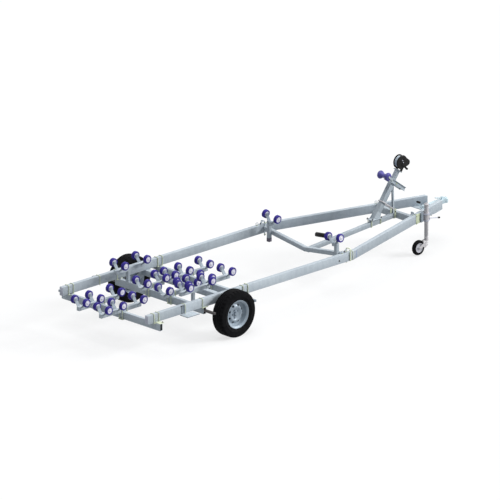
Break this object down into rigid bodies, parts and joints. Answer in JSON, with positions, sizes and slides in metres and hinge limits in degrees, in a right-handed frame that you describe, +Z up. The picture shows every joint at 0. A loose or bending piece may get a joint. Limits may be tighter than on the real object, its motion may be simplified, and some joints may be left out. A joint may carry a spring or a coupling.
{
  "type": "boat trailer",
  "caption": "Single-axle boat trailer with converging rails, cradles of hull rollers, leaning winch post, jockey wheel and ball coupling.",
  "frame": {"origin": "on the floor under the middle of the overall box", "axes": "+X forward to the coupling, +Y to the left, +Z up"},
  "size_m": [6.772, 2.215, 1.353],
  "materials": {
    "galvanised": "hot-dip galvanised, matt grey",
    "blue_rubber": "moulded blue rubber on a pale hub",
    "tyre": "black rubber",
    "rim_steel": "silver lacquer",
    "bow_rubber": "moulded violet-blue rubber",
    "zinc_plate": "yellow passivated zinc",
    "winch_black": "black powder coat",
    "winch_strap": "woven polyester strap",
    "jockey_tyre": "solid rubber tyre on a pale rim",
    "jockey_steel": "zinc plated",
    "coupling_steel": "pale zinc plated pressing"
  },
  "bodies": {
    "chassis": {"bow_crossmember": "galvanised", "bow_roller_bracket": "galvanised", "coupling_head": "coupling_steel", "cradle_front": "galvanised", "cradle_middle": "galvanised", "cradle_rear": "galvanised", "crossmember_front": "galvanised", "crossmember_middle": "galvanised", "crossmember_rear": "galvanised", "guide_post_left": "galvanised", "guide_post_right": "galvanised", "jockey_clamp": "jockey_steel", "jockey_outer_tube": "jockey_steel", "keel_beam": "galvanised", "nose_crossmember": "galvanised", "nose_plate": "galvanised", "outrigger_left": "galvanised", "outrigger_right": "galvanised", "saddle_clamps": "zinc_plate", "side_rail_left": "galvanised", "side_rail_right": "galvanised", "swing_arm_left": "galvanised", "swing_arm_right": "galvanised", "torsion_axle": "galvanised", "winch_cover": "winch_black", "winch_frame": "winch_black", "winch_post_braces": "galvanised", "winch_post_lower": "galvanised", "winch_post_upper": "galvanised"},
    "rollers_rear_tail_left": {"rollers_rear_tail_left": "blue_rubber"},
    "rollers_rear_tail_right": {"rollers_rear_tail_right": "blue_rubber"},
    "rollers_rear_mid_left": {"rollers_rear_mid_left": "blue_rubber"},
    "rollers_rear_mid_right": {"rollers_rear_mid_right": "blue_rubber"},
    "rollers_rear_lead_left": {"rollers_rear_lead_left": "blue_rubber"},
    "rollers_rear_lead_right": {"rollers_rear_lead_right": "blue_rubber"},
    "rollers_middle_tail_left": {"rollers_middle_tail_left": "blue_rubber"},
    "rollers_middle_tail_right": {"rollers_middle_tail_right": "blue_rubber"},
    "rollers_middle_lead_left": {"rollers_middle_lead_left": "blue_rubber"},
    "rollers_middle_lead_right": {"rollers_middle_lead_right": "blue_rubber"},
    "rollers_front_tail_left": {"rollers_front_tail_left": "blue_rubber"},
    "rollers_front_tail_right": {"rollers_front_tail_right": "blue_rubber"},
    "rollers_front_mid_left": {"rollers_front_mid_left": "blue_rubber"},
    "rollers_front_mid_right": {"rollers_front_mid_right": "blue_rubber"},
    "rollers_front_lead_left": {"rollers_front_lead_left": "blue_rubber"},
    "rollers_front_lead_right": {"rollers_front_lead_right": "blue_rubber"},
    "rollers_outrigger_tail_left": {"rollers_outrigger_tail_left": "blue_rubber"},
    "rollers_outrigger_tail_right": {"rollers_outrigger_tail_right": "blue_rubber"},
    "rollers_outrigger_lead_left": {"rollers_outrigger_lead_left": "blue_rubber"},
    "rollers_outrigger_lead_right": {"rollers_outrigger_lead_right": "blue_rubber"},
    "rollers_guide_left": {"rollers_guide_left": "blue_rubber"},
    "rollers_guide_right": {"rollers_guide_right": "blue_rubber"},
    "road_wheel_left": {"road_tyre_left": "tyre", "road_rim_left": "rim_steel"},
    "road_wheel_right": {"road_tyre_right": "tyre", "road_rim_right": "rim_steel"},
    "bow_roller": {"bow_roller": "bow_rubber"},
    "winch_drum": {"winch_drum": "winch_strap"},
    "jockey_leg": {"jockey_leg": "jockey_steel"},
    "jockey_fork": {"jockey_fork": "jockey_steel"},
    "jockey_wheel": {"jockey_wheel": "jockey_tyre"}
  },
  "joints": [
    {"name": "road_wheel_left_spin", "type": "hinge", "parent": "chassis", "child": "road_wheel_left", "pos_m": [-1.653, 1.01, 0.325], "axis": [0, 1, 0], "continuous": true},
    {"name": "road_wheel_right_spin", "type": "hinge", "parent": "chassis", "child": "road_wheel_right", "pos_m": [-1.653, -1.01, 0.325], "axis": [0, 1, 0], "continuous": true},
    {"name": "rollers_rear_tail_left_spin", "type": "hinge", "parent": "chassis", "child": "rollers_rear_tail_left", "pos_m": [-3.327, 0.215, 0.594], "axis": [0, 1, 0], "continuous": true},
    {"name": "rollers_rear_tail_right_spin", "type": "hinge", "parent": "chassis", "child": "rollers_rear_tail_right", "pos_m": [-3.327, -0.215, 0.594], "axis": [0, 1, 0], "continuous": true},
    {"name": "rollers_rear_mid_left_spin", "type": "hinge", "parent": "chassis", "child": "rollers_rear_mid_left", "pos_m": [-3.061, 0.215, 0.594], "axis": [0, 1, 0], "continuous": true},
    {"name": "rollers_rear_mid_right_spin", "type": "hinge", "parent": "chassis", "child": "rollers_rear_mid_right", "pos_m": [-3.061, -0.215, 0.594], "axis": [0, 1, 0], "continuous": true},
    {"name": "rollers_rear_lead_left_spin", "type": "hinge", "parent": "chassis", "child": "rollers_rear_lead_left", "pos_m": [-2.675, 0.215, 0.594], "axis": [0, 1, 0], "continuous": true},
    {"name": "rollers_rear_lead_right_spin", "type": "hinge", "parent": "chassis", "child": "rollers_rear_lead_right", "pos_m": [-2.675, -0.215, 0.594], "axis": [0, 1, 0], "continuous": true},
    {"name": "rollers_middle_tail_left_spin", "type": "hinge", "parent": "chassis", "child": "rollers_middle_tail_left", "pos_m": [-2.188, 0.215, 0.594], "axis": [0, 1, 0], "continuous": true},
    {"name": "rollers_middle_tail_right_spin", "type": "hinge", "parent": "chassis", "child": "rollers_middle_tail_right", "pos_m": [-2.188, -0.215, 0.594], "axis": [0, 1, 0], "continuous": true},
    {"name": "rollers_middle_lead_left_spin", "type": "hinge", "parent": "chassis", "child": "rollers_middle_lead_left", "pos_m": [-1.839, 0.215, 0.594], "axis": [0, 1, 0], "continuous": true},
    {"name": "rollers_middle_lead_right_spin", "type": "hinge", "parent": "chassis", "child": "rollers_middle_lead_right", "pos_m": [-1.839, -0.215, 0.594], "axis": [0, 1, 0], "continuous": true},
    {"name": "rollers_front_tail_left_spin", "type": "hinge", "parent": "chassis", "child": "rollers_front_tail_left", "pos_m": [-1.668, 0.215, 0.594], "axis": [0, 1, 0], "continuous": true},
    {"name": "rollers_front_tail_right_spin", "type": "hinge", "parent": "chassis", "child": "rollers_front_tail_right", "pos_m": [-1.668, -0.215, 0.594], "axis": [0, 1, 0], "continuous": true},
    {"name": "rollers_front_mid_left_spin", "type": "hinge", "parent": "chassis", "child": "rollers_front_mid_left", "pos_m": [-1.398, 0.215, 0.594], "axis": [0, 1, 0], "continuous": true},
    {"name": "rollers_front_mid_right_spin", "type": "hinge", "parent": "chassis", "child": "rollers_front_mid_right", "pos_m": [-1.398, -0.215, 0.594], "axis": [0, 1, 0], "continuous": true},
    {"name": "rollers_front_lead_left_spin", "type": "hinge", "parent": "chassis", "child": "rollers_front_lead_left", "pos_m": [-1.017, 0.215, 0.594], "axis": [0, 1, 0], "continuous": true},
    {"name": "rollers_front_lead_right_spin", "type": "hinge", "parent": "chassis", "child": "rollers_front_lead_right", "pos_m": [-1.017, -0.215, 0.594], "axis": [0, 1, 0], "continuous": true},
    {"name": "rollers_outrigger_tail_left_spin", "type": "hinge", "parent": "chassis", "child": "rollers_outrigger_tail_left", "pos_m": [-2.21, 0.628, 0.747], "axis": [0, 1, 0], "continuous": true},
    {"name": "rollers_outrigger_tail_right_spin", "type": "hinge", "parent": "chassis", "child": "rollers_outrigger_tail_right", "pos_m": [-2.21, -0.628, 0.747], "axis": [0, 1, 0], "continuous": true},
    {"name": "rollers_outrigger_lead_left_spin", "type": "hinge", "parent": "chassis", "child": "rollers_outrigger_lead_left", "pos_m": [-1.795, 0.628, 0.747], "axis": [0, 1, 0], "continuous": true},
    {"name": "rollers_outrigger_lead_right_spin", "type": "hinge", "parent": "chassis", "child": "rollers_outrigger_lead_right", "pos_m": [-1.795, -0.628, 0.747], "axis": [0, 1, 0], "continuous": true},
    {"name": "rollers_guide_left_spin", "type": "hinge", "parent": "chassis", "child": "rollers_guide_left", "pos_m": [0.634, 0.604, 0.756], "axis": [0, 0.9925, 0.1219], "continuous": true},
    {"name": "rollers_guide_right_spin", "type": "hinge", "parent": "chassis", "child": "rollers_guide_right", "pos_m": [0.634, -0.604, 0.756], "axis": [0, 0.9925, -0.1219], "continuous": true},
    {"name": "bow_roller_spin", "type": "hinge", "parent": "chassis", "child": "bow_roller", "pos_m": [2.179, 0, 1.12], "axis": [0, 1, 0], "continuous": true},
    {"name": "winch_drum_turn", "type": "hinge", "parent": "chassis", "child": "winch_drum", "pos_m": [2.481, 0, 1.25], "axis": [0, 1, 0], "continuous": true},
    {"name": "jockey_leg_slide", "type": "slide", "parent": "chassis", "child": "jockey_leg", "axis": [0, 0, 1], "range_m": [0, 0.18]},
    {"name": "jockey_fork_swivel", "type": "hinge", "parent": "jockey_leg", "child": "jockey_fork", "pos_m": [2.635, -0.352, 0.185], "axis": [0, 0, 1], "continuous": true},
    {"name": "jockey_wheel_spin", "type": "hinge", "parent": "jockey_fork", "child": "jockey_wheel", "pos_m": [2.482, -0.352, 0.105], "axis": [0, 1, 0], "continuous": true}
  ]
}
